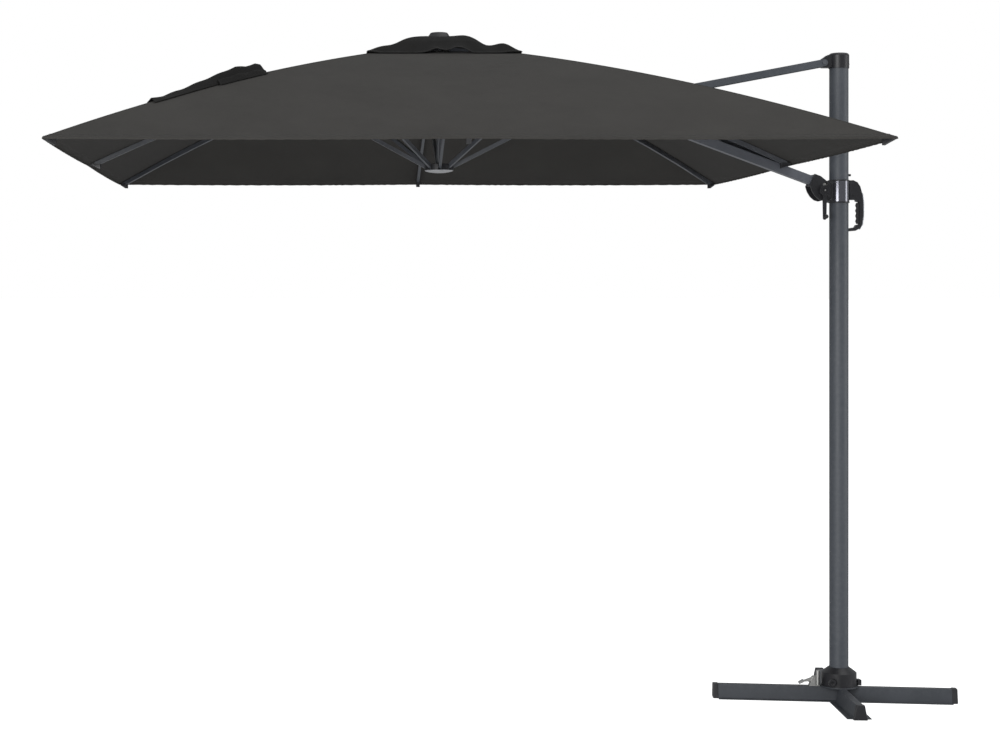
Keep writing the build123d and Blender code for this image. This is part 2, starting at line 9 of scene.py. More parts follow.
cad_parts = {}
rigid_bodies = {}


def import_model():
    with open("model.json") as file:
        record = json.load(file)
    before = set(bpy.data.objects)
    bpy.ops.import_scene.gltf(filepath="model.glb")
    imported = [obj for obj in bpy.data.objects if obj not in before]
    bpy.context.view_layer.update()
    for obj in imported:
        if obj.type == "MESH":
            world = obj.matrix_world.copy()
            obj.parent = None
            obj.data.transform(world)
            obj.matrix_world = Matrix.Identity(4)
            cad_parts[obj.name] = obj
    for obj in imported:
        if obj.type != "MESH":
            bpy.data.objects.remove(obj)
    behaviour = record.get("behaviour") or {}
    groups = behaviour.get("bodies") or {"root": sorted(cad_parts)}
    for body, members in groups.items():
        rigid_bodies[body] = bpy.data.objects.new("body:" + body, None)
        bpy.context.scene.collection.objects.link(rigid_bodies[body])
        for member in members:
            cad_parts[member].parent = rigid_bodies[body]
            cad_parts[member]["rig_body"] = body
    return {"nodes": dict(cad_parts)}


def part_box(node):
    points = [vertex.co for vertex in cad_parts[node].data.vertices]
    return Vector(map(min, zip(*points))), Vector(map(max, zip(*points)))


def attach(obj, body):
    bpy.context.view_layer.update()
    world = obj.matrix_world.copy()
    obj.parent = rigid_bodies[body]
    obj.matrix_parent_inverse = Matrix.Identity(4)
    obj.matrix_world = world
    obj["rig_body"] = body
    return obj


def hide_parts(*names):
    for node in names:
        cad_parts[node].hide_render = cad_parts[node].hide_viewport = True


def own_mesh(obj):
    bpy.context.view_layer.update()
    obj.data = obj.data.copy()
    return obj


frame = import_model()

print("frame loaded:", len(frame["nodes"]), "nodes")
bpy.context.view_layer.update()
nodes = frame["nodes"]
bodyOf = {name: obj["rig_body"] for name, obj in nodes.items()}
finialLow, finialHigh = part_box("finial")
hub = Vector(((finialLow.x + finialHigh.x) / 2, 0.0, 0.0))
spokes = {"mast_side": 0, "mast_back": 45, "back": 90, "outer_back": 135,
          "outer": 180, "outer_front": 225, "front": 270, "mast_front": 315}
cornerNames = {45: "mast_back", 135: "outer_back", 225: "outer_front", 315: "mast_front"}
midNames = {0: "mast_side", 90: "back", 180: "outer", 270: "front"}


# camera

cameraView = {"place": (-2.317, -8.36, 1.753), "lens": 70.38, "shiftX": 0.203, "shiftY": -0.085}
lens = bpy.data.cameras.new("viewCamera")
lens.lens = cameraView["lens"]
lens.sensor_width = 36
lens.shift_x = cameraView["shiftX"]
lens.shift_y = cameraView["shiftY"]
lens.clip_end = 900
viewer = bpy.data.objects.new("viewCamera", lens)
viewer.location = cameraView["place"]
viewer.rotation_euler = (math.pi / 2, 0, 0)
bpy.context.scene.collection.objects.link(viewer)
bpy.context.scene.camera = viewer
bpy.context.scene.view_settings.view_transform = "Standard"


# small helpers

def linked(name, mesh):
    obj = bpy.data.objects.new(name, mesh)
    bpy.context.scene.collection.objects.link(obj)
    return obj


def meshFrom(name, points, faces, edges=()):
    mesh = bpy.data.meshes.new(name)
    mesh.from_pydata([tuple(p) for p in points], list(edges), list(faces))
    mesh.validate()
    return mesh


def settled(obj):
    # modifiers become plain mesh, and the piece keeps its name
    graph = bpy.context.evaluated_depsgraph_get()
    mesh = bpy.data.meshes.new_from_object(obj.evaluated_get(graph), depsgraph=graph)
    obj.modifiers.clear()
    obj.data = mesh
    mesh.name = obj.name
    return obj


def smoothed(mesh, angle=38):
    mesh.polygons.foreach_set("use_smooth", [True] * len(mesh.polygons))
    mesh.set_sharp_from_angle(angle=math.radians(angle))
    mesh.update()


def placed(piece, body, replaced=()):
    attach(piece, body)
    if replaced:
        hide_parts(*replaced)
    return piece


def node(tree, kind, sockets=None, **settings):
    made = tree.nodes.new(kind)
    for key, value in settings.items():
        setattr(made, key, value)
    for key, value in (sockets or {}).items():
        target = made.inputs[key]
        if isinstance(value, bpy.types.NodeSocket):
            tree.links.new(value, target)
        else:
            target.default_value = value
    return made


def sums(tree, operation, first, second=0.0, third=None):
    sockets = {0: first, 1: second}
    if third is not None:
        sockets[2] = third
    return node(tree, "ShaderNodeMath", sockets, operation=operation).outputs[0]


# shared shader effects

def shaderGroup(name, inputs, outputs):
    tree = bpy.data.node_groups.new(name, "ShaderNodeTree")
    for label, kind, value in inputs:
        made = tree.interface.new_socket(name=label, in_out="INPUT", socket_type=kind)
        if value is not None:
            made.default_value = value
    for label, kind in outputs:
        tree.interface.new_socket(name=label, in_out="OUTPUT", socket_type=kind)
    return tree, tree.nodes.new("NodeGroupInput"), tree.nodes.new("NodeGroupOutput")


def buildWeave():
    tree, start, end = shaderGroup(
        "plainWeave",
        [("Coordinate", "NodeSocketVector", None), ("Threads", "NodeSocketFloat", 900.0),
         ("Slub", "NodeSocketFloat", 0.35)],
        [("Height", "NodeSocketFloat"), ("Tone", "NodeSocketFloat")])
    split = node(tree, "ShaderNodeSeparateXYZ", {0: start.outputs["Coordinate"]})
    turns = sums(tree, "MULTIPLY", start.outputs["Threads"], math.pi)
    warp = sums(tree, "SINE", sums(tree, "MULTIPLY", split.outputs[0], turns))
    weft = sums(tree, "SINE", sums(tree, "MULTIPLY", split.outputs[1], turns))
    crossing = sums(tree, "MULTIPLY", warp, weft)
    slub = node(tree, "ShaderNodeTexNoise", {"Vector": start.outputs["Coordinate"], "Scale": 160.0,
                                             "Detail": 3.0, "Roughness": 0.6})
    drift = node(tree, "ShaderNodeTexNoise", {"Vector": start.outputs["Coordinate"], "Scale": 3.2,
                                              "Detail": 4.0, "Roughness": 0.55})
    fibre = sums(tree, "MULTIPLY", slub.outputs[0], start.outputs["Slub"])
    tree.links.new(sums(tree, "MULTIPLY_ADD", crossing, 0.5, fibre), end.inputs["Height"])
    mixed = sums(tree, "MULTIPLY_ADD", slub.outputs[0], 0.45, sums(tree, "MULTIPLY", drift.outputs[0], 0.55))
    tree.links.new(mixed, end.inputs["Tone"])
    return tree


def buildGrain():
    tree, start, end = shaderGroup(
        "coatGrain",
        [("Coordinate", "NodeSocketVector", None), ("Scale", "NodeSocketFloat", 900.0),
         ("Cloud", "NodeSocketFloat", 6.0)],
        [("Height", "NodeSocketFloat"), ("Tone", "NodeSocketFloat")])
    fine = node(tree, "ShaderNodeTexNoise", {"Vector": start.outputs["Coordinate"],
                                             "Scale": start.outputs["Scale"], "Detail": 2.0})
    cloud = node(tree, "ShaderNodeTexNoise", {"Vector": start.outputs["Coordinate"],
                                              "Scale": start.outputs["Cloud"], "Detail": 5.0, "Roughness": 0.6})
    tree.links.new(fine.outputs[0], end.inputs["Height"])
    tree.links.new(cloud.outputs[0], end.inputs["Tone"])
    return tree


def buildEdgeWear():
    tree, start, end = shaderGroup(
        "edgeWear",
        [("Coordinate", "NodeSocketVector", None), ("Amount", "NodeSocketFloat", 0.5)],
        [("Mask", "NodeSocketFloat")])
    shape = node(tree, "ShaderNodeNewGeometry")
    rub = node(tree, "ShaderNodeTexNoise", {"Vector": start.outputs["Coordinate"], "Scale": 55.0,
                                            "Detail": 6.0, "Roughness": 0.7})
    edge = node(tree, "ShaderNodeMapRange", {0: shape.outputs["Pointiness"], 1: 0.52, 2: 0.62, 3: 0.0, 4: 1.0})
    patchy = node(tree, "ShaderNodeMapRange", {0: rub.outputs[0], 1: 0.42, 2: 0.68, 3: 0.0, 4: 1.0})
    worn = sums(tree, "MULTIPLY", edge.outputs[0], patchy.outputs[0])
    tree.links.new(sums(tree, "MULTIPLY", worn, start.outputs["Amount"]), end.inputs["Mask"])
    return tree


def buildDust():
    tree, start, end = shaderGroup(
        "settledDust",
        [("Coordinate", "NodeSocketVector", None), ("Amount", "NodeSocketFloat", 0.2)],
        [("Mask", "NodeSocketFloat")])
    facing = node(tree, "ShaderNodeTexCoord")
    up = node(tree, "ShaderNodeSeparateXYZ", {0: facing.outputs["Normal"]})
    lying = node(tree, "ShaderNodeMapRange", {0: up.outputs[2], 1: 0.35, 2: 0.95, 3: 0.0, 4: 1.0})
    speck = node(tree, "ShaderNodeTexNoise", {"Vector": start.outputs["Coordinate"], "Scale": 14.0,
                                              "Detail": 8.0, "Roughness": 0.72})
    patchy = node(tree, "ShaderNodeMapRange", {0: speck.outputs[0], 1: 0.38, 2: 0.72, 3: 0.0, 4: 1.0})
    both = sums(tree, "MULTIPLY", lying.outputs[0], patchy.outputs[0])
    tree.links.new(sums(tree, "MULTIPLY", both, start.outputs["Amount"]), end.inputs["Mask"])
    return tree


weaveGroup, grainGroup, wearGroup, dustGroup = buildWeave(), buildGrain(), buildEdgeWear(), buildDust()


def shaderBase(name):
    material = bpy.data.materials.new(name)
    material.use_nodes = True
    tree = material.node_tree
    tree.nodes.clear()
    output = node(tree, "ShaderNodeOutputMaterial")
    shader = node(tree, "ShaderNodeBsdfPrincipled")
    tree.links.new(shader.outputs[0], output.inputs[0])
    return material, tree, shader


def blended(tree, amount, first, second):
    mix = node(tree, "ShaderNodeMix", data_type="RGBA")
    for target, value in ((mix.inputs[0], amount), (mix.inputs[6], first), (mix.inputs[7], second)):
        if isinstance(value, bpy.types.NodeSocket):
            tree.links.new(value, target)
        else:
            target.default_value = value if isinstance(value, float) else (*value, 1.0)
    return mix.outputs[2]


def ranged(tree, value, low, high):
    return node(tree, "ShaderNodeMapRange", {0: value, 1: 0.3, 2: 0.7, 3: low, 4: high}).outputs[0]


def clothMaterial(name, look):
    material, tree, shader = shaderBase(name)
    laid = node(tree, "ShaderNodeUVMap", uv_map="laidFlat")
    weave = node(tree, "ShaderNodeGroup", node_tree=weaveGroup)
    tree.links.new(laid.outputs[0], weave.inputs["Coordinate"])
    weave.inputs["Threads"].default_value = look["threads"]
    weave.inputs["Slub"].default_value = look["slub"]
    dust = node(tree, "ShaderNodeGroup", node_tree=dustGroup)
    place = node(tree, "ShaderNodeTexCoord")
    tree.links.new(place.outputs["Object"], dust.inputs["Coordinate"])
    dust.inputs["Amount"].default_value = look["dust"]
    dyed = blended(tree, ranged(tree, weave.outputs["Tone"], 0.0, 1.0), look["deep"], look["light"])
    tree.links.new(blended(tree, dust.outputs["Mask"], dyed, look["dustTint"]), shader.inputs["Base Color"])
    tree.links.new(ranged(tree, weave.outputs["Tone"], look["rough"] - 0.05, look["rough"] + 0.05),
                   shader.inputs["Roughness"])
    bump = node(tree, "ShaderNodeBump", {"Height": weave.outputs["Height"], "Strength": look["relief"],
                                         "Distance": 0.0004})
    tree.links.new(bump.outputs[0], shader.inputs["Normal"])
    shader.inputs["Specular IOR Level"].default_value = 0.1
    shader.inputs["Sheen Weight"].default_value = look["sheen"]
    shader.inputs["Sheen Roughness"].default_value = 0.55
    return material


def coatMaterial(name, look):
    material, tree, shader = shaderBase(name)
    place = node(tree, "ShaderNodeTexCoord")
    grain = node(tree, "ShaderNodeGroup", node_tree=grainGroup)
    wear = node(tree, "ShaderNodeGroup", node_tree=wearGroup)
    dust = node(tree, "ShaderNodeGroup", node_tree=dustGroup)
    for part in (grain, wear, dust):
        tree.links.new(place.outputs["Object"], part.inputs["Coordinate"])
    grain.inputs["Scale"].default_value = look["grain"]
    wear.inputs["Amount"].default_value = look["wear"]
    dust.inputs["Amount"].default_value = look["dust"]
    paint = blended(tree, ranged(tree, grain.outputs["Tone"], 0.0, 1.0), look["deep"], look["light"])
    worn = blended(tree, wear.outputs["Mask"], paint, look["bare"])
    tree.links.new(blended(tree, dust.outputs["Mask"], worn, (0.22, 0.21, 0.19)), shader.inputs["Base Color"])
    tree.links.new(ranged(tree, grain.outputs["Tone"], look["rough"] - 0.04, look["rough"] + 0.06),
                   shader.inputs["Roughness"])
    bump = node(tree, "ShaderNodeBump", {"Height": grain.outputs["Height"], "Strength": look["relief"],
                                         "Distance": 0.0003})
    tree.links.new(bump.outputs[0], shader.inputs["Normal"])
    shader.inputs["Metallic"].default_value = look.get("metal", 0.0)
    shader.inputs["Specular IOR Level"].default_value = look.get("specular", 0.5)
    shader.inputs["Coat Weight"].default_value = look.get("coat", 0.0)
    shader.inputs["Coat Roughness"].default_value = 0.12
    return material


looks = {
    "cloth": {"deep": (0.035, 0.0334, 0.0312), "light": (0.047, 0.0449, 0.042), "threads": 900.0, "slub": 0.4,
              "dust": 0.05, "dustTint": (0.11, 0.105, 0.096), "rough": 0.9, "relief": 0.35, "sheen": 0.02},
    # the vent look is the canopy fabric painted far darker: painted shade for the shade on the vent's sloping faces
    "vent": {"deep": (0.0075, 0.0074, 0.0072), "light": (0.0125, 0.0122, 0.0118), "threads": 900.0, "slub": 0.4,
             "dust": 0.04, "dustTint": (0.05, 0.048, 0.045), "rough": 0.92, "relief": 0.35, "sheen": 0.01},
    "webbing": {"deep": (0.007, 0.0069, 0.0067), "light": (0.012, 0.0118, 0.0114), "threads": 420.0, "slub": 0.2,
                "dust": 0.05, "dustTint": (0.05, 0.048, 0.045), "rough": 0.84, "relief": 0.6, "sheen": 0.03},
    "thread": {"deep": (0.026, 0.0255, 0.025), "light": (0.04, 0.039, 0.038), "grain": 2400.0, "wear": 0.0,
               "dust": 0.05, "bare": (0.1, 0.1, 0.1), "rough": 0.7, "relief": 0.3},
    "basePaint": {"deep": (0.027, 0.031, 0.038), "light": (0.038, 0.043, 0.052), "bare": (0.16, 0.165, 0.17),
                  "grain": 1100.0, "wear": 0.35, "dust": 0.12, "rough": 0.46, "relief": 0.25},
    "framePaint": {"deep": (0.047, 0.054, 0.065), "light": (0.059, 0.066, 0.078), "bare": (0.2, 0.205, 0.21),
                   "grain": 1300.0, "wear": 0.3, "dust": 0.06, "rough": 0.5, "relief": 0.2},
    "boomPaint": {"deep": (0.094, 0.101, 0.118), "light": (0.116, 0.124, 0.143), "bare": (0.25, 0.25, 0.25),
                  "grain": 1300.0, "wear": 0.25, "dust": 0.05, "rough": 0.4, "relief": 0.2},
    "ribPaint": {"deep": (0.06, 0.065, 0.075), "light": (0.08, 0.086, 0.098), "bare": (0.2, 0.2, 0.2),
                 "grain": 1300.0, "wear": 0.25, "dust": 0.04, "rough": 0.36, "relief": 0.2},
    "blackPlastic": {"deep": (0.011, 0.011, 0.013), "light": (0.018, 0.018, 0.021), "bare": (0.05, 0.05, 0.055),
                     "grain": 1700.0, "wear": 0.4, "dust": 0.05, "rough": 0.38, "relief": 0.3, "specular": 0.4},
    "gripRubber": {"deep": (0.012, 0.012, 0.013), "light": (0.02, 0.02, 0.021), "bare": (0.04, 0.04, 0.04),
                   "grain": 700.0, "wear": 0.3, "dust": 0.1, "rough": 0.6, "relief": 0.6},
    "collarGloss": {"deep": (0.11, 0.111, 0.13), "light": (0.15, 0.152, 0.175), "bare": (0.4, 0.4, 0.4),
                    "grain": 300.0, "wear": 0.2, "dust": 0.02, "rough": 0.14, "relief": 0.05, "metal": 0.85,
                    "coat": 0.6},
    "stripGloss": {"deep": (0.4, 0.41, 0.44), "light": (0.5, 0.51, 0.54), "bare": (0.6, 0.6, 0.6),
                   "grain": 300.0, "wear": 0.2, "dust": 0.02, "rough": 0.2, "relief": 0.05, "metal": 0.85,
                   "coat": 0.5},
    "zincPlate": {"deep": (0.34, 0.34, 0.33), "light": (0.5, 0.49, 0.47), "bare": (0.7, 0.7, 0.68),
                  "grain": 500.0, "wear": 0.5, "dust": 0.12, "rough": 0.36, "relief": 0.25, "metal": 0.9},
    "darkScrew": {"deep": (0.035, 0.036, 0.039), "light": (0.06, 0.061, 0.065), "bare": (0.2, 0.2, 0.2),
                  "grain": 600.0, "wear": 0.4, "dust": 0.05, "rough": 0.38, "relief": 0.2, "metal": 0.6},
    "capGrey": {"deep": (0.36, 0.365, 0.38), "light": (0.44, 0.445, 0.46), "bare": (0.35, 0.35, 0.35),
                "grain": 900.0, "wear": 0.2, "dust": 0.05, "rough": 0.45, "relief": 0.2},
}
clothDye = clothMaterial("canopyCloth", looks["cloth"])
# the vent material carries painted shade, a darker copy of the canopy cloth
ventPaintedShade = clothMaterial("ventClothPaintedShade", looks["vent"])
webbing = clothMaterial("strapWebbing", looks["webbing"])
coats = {name: coatMaterial(name, look) for name, look in looks.items() if "threads" not in look}
print("materials:", len(coats) + 3)


# studio: white behind for the camera, a softer sky for the light

studio = {"behind": 1.0, "sky": 0.43, "floorSize": 700.0, "floorGlow": 0.8,
          "lights": {"topSoft": {"at": (1.0, -1.8, 7.2), "aim": (-0.6, -0.2, 1.0), "size": (7.0, 5.0), "power": 172},
                     "frontLeft": {"at": (-5.4, -8.6, 2.9), "aim": (-0.8, 0.0, 2.2), "size": (4.4, 5.6), "power": 590},
                     "rightStrip": {"at": (6.2, -1.6, 2.0), "aim": (-0.9, 0.0, 2.2), "size": (2.3, 4.6), "power": 120}}}
world = bpy.data.worlds.new("studioSky")
bpy.context.scene.world = world
world.use_nodes = True
sky = world.node_tree
sky.nodes.clear()
seen = node(sky, "ShaderNodeBackground", {"Color": (1, 1, 1, 1), "Strength": studio["behind"]})
soft = node(sky, "ShaderNodeBackground", {"Color": (0.96, 0.98, 1, 1), "Strength": studio["sky"]})
ray = node(sky, "ShaderNodeLightPath")
either = node(sky, "ShaderNodeMixShader", {0: ray.outputs["Is Camera Ray"], 1: soft.outputs[0], 2: seen.outputs[0]})
node(sky, "ShaderNodeOutputWorld", {0: either.outputs[0]})
for name, spec in studio["lights"].items():
    lamp = bpy.data.lights.new(name, "AREA")
    lamp.shape = "RECTANGLE"
    lamp.size, lamp.size_y = spec["size"]
    lamp.energy = spec["power"]
    lampObject = bpy.data.objects.new(name, lamp)
    lampObject.location = spec["at"]
    lampObject.rotation_mode = "QUATERNION"
    lampObject.rotation_quaternion = (Vector(spec["aim"]) - Vector(spec["at"])).to_track_quat("-Z", "Y")
    bpy.context.scene.collection.objects.link(lampObject)

side = studio["floorSize"] / 2
floor = linked("paleFloor", meshFrom("paleFloor", [(-side, -side, -0.0006), (side, -side, -0.0006),
                                                   (side, side, -0.0006), (-side, side, -0.0006)], [(0, 1, 2, 3)]))
floorMaterial, tree, shader = shaderBase("paleFloor")
ray = node(tree, "ShaderNodeLightPath")
tree.links.new(blended(tree, ray.outputs["Is Camera Ray"], (0.72, 0.72, 0.72), (0.9, 0.9, 0.9)),
               shader.inputs["Base Color"])
shader.inputs["Emission Color"].default_value = (1, 1, 1, 1)
tree.links.new(sums(tree, "MULTIPLY", ray.outputs["Is Camera Ray"], studio["floorGlow"]),
               shader.inputs["Emission Strength"])
shader.inputs["Roughness"].default_value = 0.9
shader.inputs["Specular IOR Level"].default_value = 0.1
floor.data.materials.append(floorMaterial)
print("studio ready")


# geometry trees

def geometryTree(name, inputs):
    tree = bpy.data.node_groups.new(name, "GeometryNodeTree")
    tree.interface.new_socket(name="Geometry", in_out="INPUT", socket_type="NodeSocketGeometry")
    for label, kind, value in inputs:
        made = tree.interface.new_socket(name=label, in_out="INPUT", socket_type=kind)
        if value is not None:
            made.default_value = value
    tree.interface.new_socket(name="Geometry", in_out="OUTPUT", socket_type="NodeSocketGeometry")
    return tree, tree.nodes.new("NodeGroupInput"), tree.nodes.new("NodeGroupOutput")


def grown(name, mesh, tree, values):
    obj = linked(name, mesh)
    modifier = obj.modifiers.new(tree.name, "NODES")
    modifier.node_group = tree
    for item in tree.interface.items_tree:
        if item.item_type == "SOCKET" and item.in_out == "INPUT" and item.name in values:
            modifier[item.identifier] = values[item.name]
    graph = bpy.context.evaluated_depsgraph_get()
    made = bpy.data.meshes.new_from_object(obj.evaluated_get(graph), depsgraph=graph)
    bpy.data.objects.remove(obj)
    made.name = name
    return made


def finishTree(tree, start, end, geometry):
    whole = node(tree, "GeometryNodeRealizeInstances", {0: geometry})
    dressed = node(tree, "GeometryNodeSetMaterial", {"Geometry": whole.outputs[0],
                                                     "Material": start.outputs["Material"]})
    tree.links.new(dressed.outputs[0], end.inputs[0])


def buildStitchTree():
    tree, start, end = geometryTree("stitchRow", [
        ("Spacing", "NodeSocketFloat", 0.0065), ("Length", "NodeSocketFloat", 0.0042),
        ("Thickness", "NodeSocketFloat", 0.0005), ("Material", "NodeSocketMaterial", None)])
    path = node(tree, "GeometryNodeMeshToCurve", {"Mesh": start.outputs["Geometry"]})
    spaced = node(tree, "GeometryNodeResampleCurve", {"Curve": path.outputs[0],
                                                      "Length": start.outputs["Spacing"]}, mode="LENGTH")
    stitch = node(tree, "GeometryNodeMeshCylinder", {"Vertices": 6, "Radius": start.outputs["Thickness"],
                                                     "Depth": start.outputs["Length"]})
    tangent = node(tree, "GeometryNodeInputTangent")
    turned = node(tree, "FunctionNodeAlignRotationToVector", {"Vector": tangent.outputs[0]}, axis="Z")
    rows = node(tree, "GeometryNodeInstanceOnPoints", {"Points": spaced.outputs[0], "Instance": stitch.outputs[0],
                                                       "Rotation": turned.outputs[0]})
    finishTree(tree, start, end, rows.outputs[0])
    return tree


def buildScrewTree():
    tree, start, end = geometryTree("screwHeads", [
        ("Radius", "NodeSocketFloat", 0.004), ("Height", "NodeSocketFloat", 0.002),
        ("Recess", "NodeSocketFloat", 0.0012), ("Sides", "NodeSocketInt", 20),
        ("Material", "NodeSocketMaterial", None)])
    head = node(tree, "GeometryNodeMeshCylinder", {"Vertices": start.outputs["Sides"],
                                                   "Radius": start.outputs["Radius"],
                                                   "Depth": start.outputs["Height"]})
    crown = node(tree, "GeometryNodeExtrudeMesh", {"Mesh": head.outputs["Mesh"], "Selection": head.outputs["Top"],
                                                   "Offset Scale": sums(tree, "MULTIPLY", start.outputs["Height"], 0.35),
                                                   "Individual": False}, mode="FACES")
    domed = node(tree, "GeometryNodeScaleElements", {"Geometry": crown.outputs["Mesh"],
                                                     "Selection": crown.outputs["Top"], "Scale": 0.8}, domain="FACE")
    lip = node(tree, "GeometryNodeExtrudeMesh", {"Mesh": domed.outputs[0], "Selection": crown.outputs["Top"],
                                                 "Offset Scale": 0.0, "Individual": False}, mode="FACES")
    inner = node(tree, "GeometryNodeScaleElements", {"Geometry": lip.outputs["Mesh"],
                                                     "Selection": lip.outputs["Top"], "Scale": 0.6}, domain="FACE")
    deep = node(tree, "GeometryNodeExtrudeMesh", {"Mesh": inner.outputs[0], "Selection": lip.outputs["Top"],
                                                  "Offset Scale": sums(tree, "MULTIPLY", start.outputs["Recess"], -1.0),
                                                  "Individual": False}, mode="FACES")
    facing = node(tree, "GeometryNodeInputNamedAttribute", {"Name": "facing"}, data_type="FLOAT_VECTOR")
    turned = node(tree, "FunctionNodeAlignRotationToVector", {"Vector": facing.outputs[0]}, axis="Z")
    heads = node(tree, "GeometryNodeInstanceOnPoints", {"Points": start.outputs["Geometry"],
                                                        "Instance": deep.outputs["Mesh"],
                                                        "Rotation": turned.outputs[0]})
    finishTree(tree, start, end, heads.outputs[0])
    return tree


def buildFluteTree():
    tree, start, end = geometryTree("fluteRing", [
        ("Count", "NodeSocketInt", 24), ("Ring", "NodeSocketFloat", 0.01), ("Thickness", "NodeSocketFloat", 0.0008),
        ("Length", "NodeSocketFloat", 0.01), ("Material", "NodeSocketMaterial", None)])
    ring = node(tree, "GeometryNodeMeshCircle", {"Vertices": start.outputs["Count"], "Radius": start.outputs["Ring"]})
    flute = node(tree, "GeometryNodeMeshCylinder", {"Vertices": 8, "Radius": start.outputs["Thickness"],
                                                    "Depth": start.outputs["Length"]})
    around = node(tree, "GeometryNodeInstanceOnPoints", {"Points": ring.outputs[0], "Instance": flute.outputs[0]})
    finishTree(tree, start, end, around.outputs[0])
    return tree


def buildTapeTree():
    tree, start, end = geometryTree("tapeAlongPath", [
        ("Width", "NodeSocketFloat", 0.014), ("Height", "NodeSocketFloat", 0.002),
        ("Corner", "NodeSocketFloat", 0.0008), ("Material", "NodeSocketMaterial", None)])
    path = node(tree, "GeometryNodeMeshToCurve", {"Mesh": start.outputs["Geometry"]})
    upright = node(tree, "GeometryNodeSetCurveNormal", {"Curve": path.outputs[0]}, mode="Z_UP")
    outline = node(tree, "GeometryNodeCurvePrimitiveQuadrilateral", {"Width": start.outputs["Width"],
                                                                     "Height": start.outputs["Height"]})
    eased = node(tree, "GeometryNodeFilletCurve", {"Curve": outline.outputs[0], "Radius": start.outputs["Corner"],
                                                   "Count": 3}, mode="POLY")
    tape = node(tree, "GeometryNodeCurveToMesh", {"Curve": upright.outputs[0], "Profile Curve": eased.outputs[0],
                                                  "Fill Caps": True})
    finishTree(tree, start, end, tape.outputs[0])
    return tree


stitchTree, screwTree, fluteTree, tapeTree = buildStitchTree(), buildScrewTree(), buildFluteTree(), buildTapeTree()


def pathMesh(name, lines):
    points, edges = [], []
    for line in lines:
        first = len(points)
        points += [tuple(p) for p in line]
        edges += [(first + i, first + i + 1) for i in range(len(line) - 1)]
    return meshFrom(name, points, [], edges)


def screwMesh(name, spots, values):
    mesh = meshFrom(name, [spot[0] for spot in spots], [])
    facing = mesh.attributes.new("facing", "FLOAT_VECTOR", "POINT")
    facing.data.foreach_set("vector", [x for spot in spots for x in spot[1]])
    made = grown(name, mesh, screwTree, values)
    smoothed(made, 35)
    return made


# hard parts: the CAD shapes with their edges rounded off

def slimTip(mesh, material, start):
    # the end cap of a rib: black, and shallower than the rib behind it
    mesh.materials.append(coats[material])
    for face in mesh.polygons:
        if (Vector((face.center.x, face.center.y, 0)) - hub).length > start:
            face.material_index = 1
    ends = [v for v in mesh.vertices if (Vector((v.co.x, v.co.y, 0)) - hub).length > start + 0.006]
    top = max(v.co.z for v in ends)
    for v in ends:
        v.co.z = max(v.co.z, top - 0.0125) if v.co.z < top - 0.0125 else v.co.z
    mesh.update()


def softened(name, width, material, segments=2, sharp=30, tips=None):
    source = nodes[name]
    work = bmesh.new()
    work.from_mesh(source.data)
    bmesh.ops.remove_doubles(work, verts=work.verts, dist=0.000004)
    bmesh.ops.dissolve_limit(work, angle_limit=math.radians(1.0), verts=work.verts, edges=work.edges)
    mesh = bpy.data.meshes.new(name + "_finish")
    work.to_mesh(mesh)
    work.free()
    mesh.materials.clear()
    mesh.materials.append(coats[material])
    mesh.polygons.foreach_set("use_smooth", [True] * len(mesh.polygons))
    mesh.polygons.foreach_set("material_index", [0] * len(mesh.polygons))
    piece = linked(name + "_finish", mesh)
    if width:
        bevel = piece.modifiers.new("rounded", "BEVEL")
        bevel.width = width
        bevel.segments = segments
        bevel.limit_method = "ANGLE"
        bevel.angle_limit = math.radians(sharp)
        bevel.use_clamp_overlap = True
        bevel.harden_normals = False
    even = piece.modifiers.new("even", "WEIGHTED_NORMAL")
    even.keep_sharp = True
    settled(piece)
    if tips:
        slimTip(piece.data, *tips)
    return placed(piece, bodyOf[name], [name])


hardParts = {
    "base_bar_long": (0.0008, "basePaint"), "base_bar_short": (0.0008, "basePaint"),
    "base_end_caps": (0.002, "blackPlastic"), "base_plate": (0.001, "basePaint"),
    "base_bolts": (0.0006, "zincPlate"), "base_cover": (0.0018, "blackPlastic"),
    "pedal_bracket": (0.0008, "zincPlate"), "foot_pedal": (0.001, "zincPlate"),
    "latch_plunger": (0.0015, "zincPlate"), "lock_bolt": (0.0018, "blackPlastic"),
    "cover_latch": (0.002, "blackPlastic"), "mast_foot": (0.001, "basePaint"),
    "mast_tube": (0.0004, "framePaint"), "mast_cap": (0.0018, "blackPlastic"),
    "stop_button": (0.0008, "blackPlastic"), "strut_bars": (0.0014, "framePaint"),
    "strut_pins": (0.0008, "ribPaint"), "boom_tube": (0.003, "boomPaint"),
    "boom_fittings": (0.0018, "blackPlastic"), "boom_lug": (0.0022, "blackPlastic"),
    "winder_housing": (0.0028, "blackPlastic"), "crank_arm": (0.002, "blackPlastic"),
    "crank_knob": (0.0012, "gripRubber"), "slider_collar": (0.0006, "collarGloss"),
    "slider_liner": (0.0009, "blackPlastic"), "slider_bracket": (0.002, "blackPlastic"),
    "slider_fasteners": (0.0008, "zincPlate"), "handle_grip": (0.0042, "blackPlastic"),
    "handle_strip": (0.0024, "stripGloss"), "trigger": (0.0016, "gripRubber"),
    "tilt_head": (0.0018, "blackPlastic"), "hub_body": (0.0014, "blackPlastic"),
    "hub_pins": (0.0005, "zincPlate"), "finial": (0.003, "gripRubber"),
    "post_outer": (0.0005, "ribPaint"), "post_middle": (0.0005, "ribPaint"), "post_inner": (0.0005, "ribPaint"),
    "runner_hub": (0.0012, "blackPlastic"), "runner_cap": (0.0012, "capGrey"),
}
for name, (width, material) in hardParts.items():
    softened(name, width, material, segments=3 if width > 0.002 else 2)
for name, turn in spokes.items():
    reach = 1.5 if turn % 90 == 0 else 1.5 * math.sqrt(2)
    softened("rib_" + name, 0.0012, "ribPaint", tips=("blackPlastic", reach - 0.0565))
    softened("stay_" + name, 0.0014, "ribPaint")
nodes["index_ring"].data.materials.clear()
nodes["index_ring"].data.materials.append(coats["zincPlate"])
print("hard parts softened:", len(hardParts) + 16)


